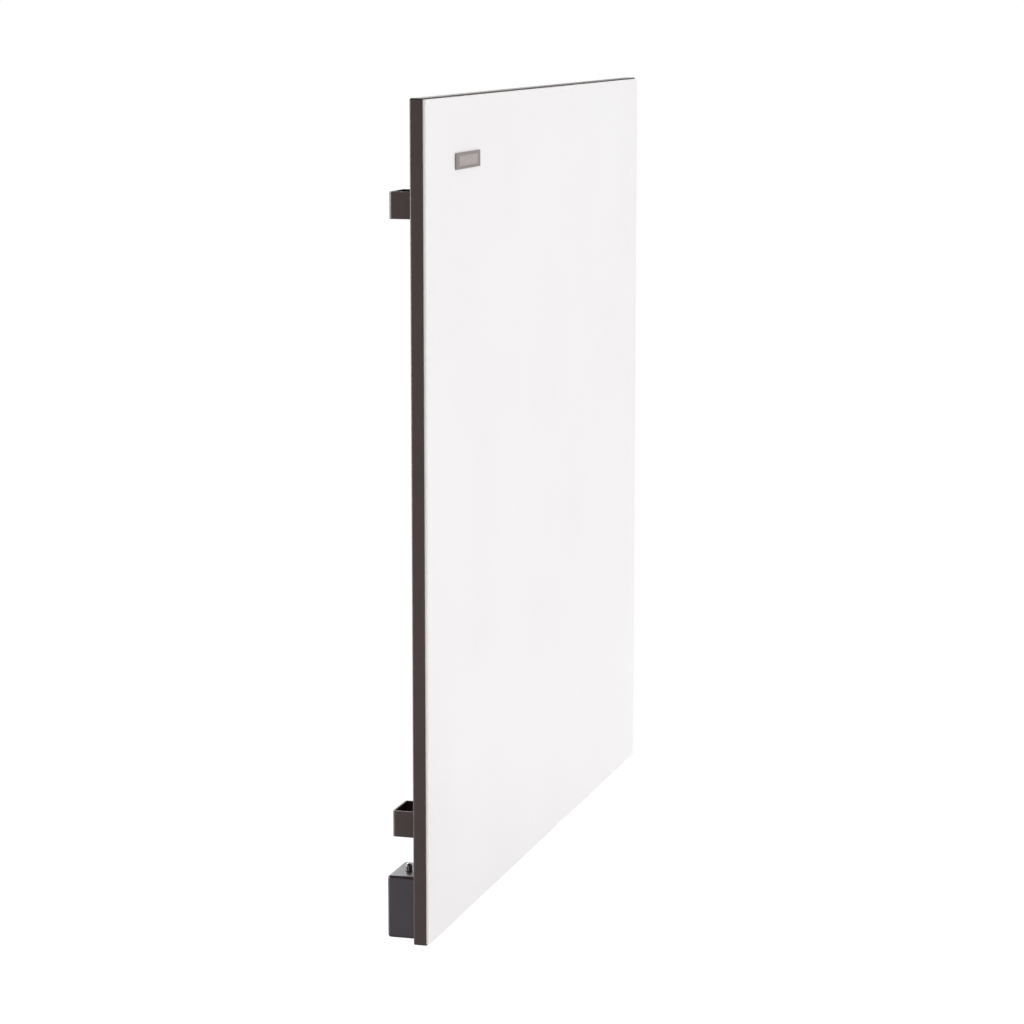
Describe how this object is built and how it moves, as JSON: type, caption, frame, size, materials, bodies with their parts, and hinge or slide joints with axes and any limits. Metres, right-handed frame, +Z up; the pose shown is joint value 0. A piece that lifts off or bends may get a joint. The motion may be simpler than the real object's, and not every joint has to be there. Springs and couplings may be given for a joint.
{
  "type": "wall-hung radiant panel heater",
  "caption": "Slim square radiant heater: a white ceramic plate in a black steel casing, held off the wall by keyhole brackets, with a small control box behind.",
  "frame": {"origin": "on the wall plane, midway between the shanks of the two upper hanging screws", "axes": "+X along the wall to the right as seen from the room, +Y from the room into the wall, +Z up"},
  "size_m": [0.6, 0.0372, 0.6],
  "materials": {
    "glazed_ceramic": "smooth white glaze",
    "brushed_steel": "lengthwise brushed",
    "powder_coat": "satin black powder coat",
    "black_polymer": "moulded, half gloss",
    "silicone": "matt",
    "mica": "pressed mica paper",
    "resistance_alloy": "rolled ribbon",
    "aluminium_foil": "bright foil",
    "fibre_board": "pressed ceramic fibre",
    "zinc_steel": "zinc plated",
    "circuit_laminate": "solder resist",
    "white_nylon": "moulded",
    "relay_case": "moulded",
    "brass": "stamped",
    "brown_sheath": "extruded sheath",
    "blue_sheath": "extruded sheath",
    "green_sheath": "extruded sheath",
    "black_rubber": "matt"
  },
  "bodies": {
    "heater": {"front_plate": "glazed_ceramic", "name_plate_tape": "silicone", "name_plate": "brushed_steel", "edge_seal": "silicone", "front_mica_sheet": "mica", "heating_element": "resistance_alloy", "rear_mica_sheet": "mica", "reflector_foil": "aluminium_foil", "insulation_board": "fibre_board", "rear_casing": "powder_coat", "upper_left_bracket": "powder_coat", "upper_right_bracket": "powder_coat", "lower_left_bracket": "powder_coat", "lower_right_bracket": "powder_coat", "upper_left_rivet_left": "zinc_steel", "upper_left_rivet_right": "zinc_steel", "upper_right_rivet_left": "zinc_steel", "upper_right_rivet_right": "zinc_steel", "lower_left_rivet_left": "zinc_steel", "lower_left_rivet_right": "zinc_steel", "lower_right_rivet_left": "zinc_steel", "lower_right_rivet_right": "zinc_steel", "control_box_base": "black_polymer", "control_box_cover": "black_polymer", "cover_screw_lower": "zinc_steel", "cover_screw_upper": "zinc_steel", "base_screw_lower": "zinc_steel", "base_screw_upper": "zinc_steel", "switch_body": "black_polymer", "button_spring": "zinc_steel", "circuit_board": "circuit_laminate", "relay": "relay_case", "terminal_block": "white_nylon", "terminal_screw_earth": "zinc_steel", "terminal_screw_live": "zinc_steel", "terminal_screw_neutral": "zinc_steel", "lead_grommet": "black_rubber", "thermal_cutout": "zinc_steel", "neutral_tab": "brass", "earth_tag": "brass", "earth_screw": "zinc_steel", "live_lead": "brown_sheath", "supply_lead": "brown_sheath", "neutral_lead": "blue_sheath", "earth_lead": "green_sheath", "cord_bush": "black_polymer"},
    "button": {"push_button": "black_polymer"}
  },
  "joints": [
    {"name": "button_press", "type": "slide", "parent": "heater", "child": "button", "axis": [0, 0, -1], "range_m": [0, 0.0015], "stiffness_N_per_m": 400, "springref_m": -0.001, "deforming": ["button_spring"]}
  ]
}
